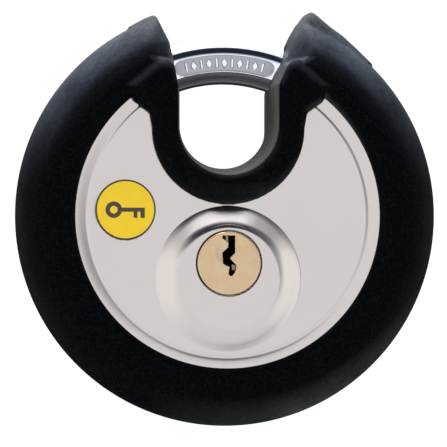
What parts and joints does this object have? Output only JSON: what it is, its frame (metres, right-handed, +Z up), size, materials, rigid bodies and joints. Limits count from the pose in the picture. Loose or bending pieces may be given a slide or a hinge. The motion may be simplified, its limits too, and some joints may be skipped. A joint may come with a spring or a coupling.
{
  "type": "disc padlock",
  "caption": "Round steel padlock in a black rubber bumper, with a short curved shackle across a deep throat that a key swings aside.",
  "frame": {"origin": "on the shackle's swing axis, which is the round body's own axis, halfway through its depth; it is also the middle of the object's box", "axes": "+Z up through the throat with the padlock hanging by its shackle, -Y out of the face with the key, +X to the right as seen from that face"},
  "size_m": [0.078, 0.0316, 0.0772],
  "materials": {
    "rubber": "moulded black rubber, slightly satin",
    "steel": "brushed stainless steel",
    "zinc": "die-cast zinc alloy, which weighs about what cast iron does",
    "brass": "turned brass",
    "enamel": "yellow enamel",
    "chrome": "chrome plated hardened steel",
    "hard_steel": "plain steel"
  },
  "bodies": {
    "lock_body": {"bumper": "rubber", "front_shell": "steel", "rear_shell": "steel", "throat_liner": "steel", "front_case": "zinc", "rear_case": "zinc", "back_plate": "zinc", "case_rivets": "hard_steel", "anti_drill_plate": "hard_steel", "badge": "enamel", "cylinder_body": "brass", "spring_cover": "brass", "pivot_post": "hard_steel", "pin_spring_1": "hard_steel", "pin_spring_2": "hard_steel", "pin_spring_3": "hard_steel", "pin_spring_4": "hard_steel", "pin_spring_5": "hard_steel"},
    "shackle": {"shackle": "chrome", "drive_arm": "hard_steel", "arm_rivets": "hard_steel"},
    "plug": {"plug": "brass", "cam": "hard_steel", "cam_screws": "hard_steel", "crank_pin": "hard_steel"},
    "key_pin_1": {"key_pin_1": "brass"},
    "key_pin_2": {"key_pin_2": "brass"},
    "key_pin_3": {"key_pin_3": "brass"},
    "key_pin_4": {"key_pin_4": "brass"},
    "key_pin_5": {"key_pin_5": "brass"},
    "driver_pin_1": {"driver_pin_1": "hard_steel"},
    "driver_pin_2": {"driver_pin_2": "hard_steel"},
    "driver_pin_3": {"driver_pin_3": "hard_steel"},
    "driver_pin_4": {"driver_pin_4": "hard_steel"},
    "driver_pin_5": {"driver_pin_5": "hard_steel"}
  },
  "joints": [
    {"name": "shackle_swing", "type": "hinge", "parent": "lock_body", "child": "shackle", "pos_m": [0, 0, 0], "axis": [0, 1, 0], "range_deg": [0, 49.88]},
    {"name": "plug_turn", "type": "hinge", "parent": "lock_body", "child": "plug", "pos_m": [0, 0, -0.0086], "axis": [0, 1, 0], "range_deg": [0, 180]},
    {"name": "key_pin_1_slide", "type": "slide", "parent": "plug", "child": "key_pin_1", "axis": [0, 0, 1], "range_m": [-0.0012, 0]},
    {"name": "key_pin_2_slide", "type": "slide", "parent": "plug", "child": "key_pin_2", "axis": [0, 0, 1], "range_m": [-0.0012, 0]},
    {"name": "key_pin_3_slide", "type": "slide", "parent": "plug", "child": "key_pin_3", "axis": [0, 0, 1], "range_m": [-0.0012, 0]},
    {"name": "key_pin_4_slide", "type": "slide", "parent": "plug", "child": "key_pin_4", "axis": [0, 0, 1], "range_m": [-0.0012, 0]},
    {"name": "key_pin_5_slide", "type": "slide", "parent": "plug", "child": "key_pin_5", "axis": [0, 0, 1], "range_m": [-0.0012, 0]},
    {"name": "driver_pin_1_slide", "type": "slide", "parent": "lock_body", "child": "driver_pin_1", "axis": [0, 0, 1], "range_m": [0, 0.0014], "stiffness_N_per_m": 120, "springref_m": -0.003, "deforming": ["pin_spring_1"]},
    {"name": "driver_pin_2_slide", "type": "slide", "parent": "lock_body", "child": "driver_pin_2", "axis": [0, 0, 1], "range_m": [0, 0.0014], "stiffness_N_per_m": 120, "springref_m": -0.003, "deforming": ["pin_spring_2"]},
    {"name": "driver_pin_3_slide", "type": "slide", "parent": "lock_body", "child": "driver_pin_3", "axis": [0, 0, 1], "range_m": [0, 0.0014], "stiffness_N_per_m": 120, "springref_m": -0.003, "deforming": ["pin_spring_3"]},
    {"name": "driver_pin_4_slide", "type": "slide", "parent": "lock_body", "child": "driver_pin_4", "axis": [0, 0, 1], "range_m": [0, 0.0014], "stiffness_N_per_m": 120, "springref_m": -0.003, "deforming": ["pin_spring_4"]},
    {"name": "driver_pin_5_slide", "type": "slide", "parent": "lock_body", "child": "driver_pin_5", "axis": [0, 0, 1], "range_m": [0, 0.0014], "stiffness_N_per_m": 120, "springref_m": -0.003, "deforming": ["pin_spring_5"]}
  ],
  "couplings": [
    {"joint": "plug_turn", "follows": "shackle_swing", "ratio": 3.6086}
  ]
}
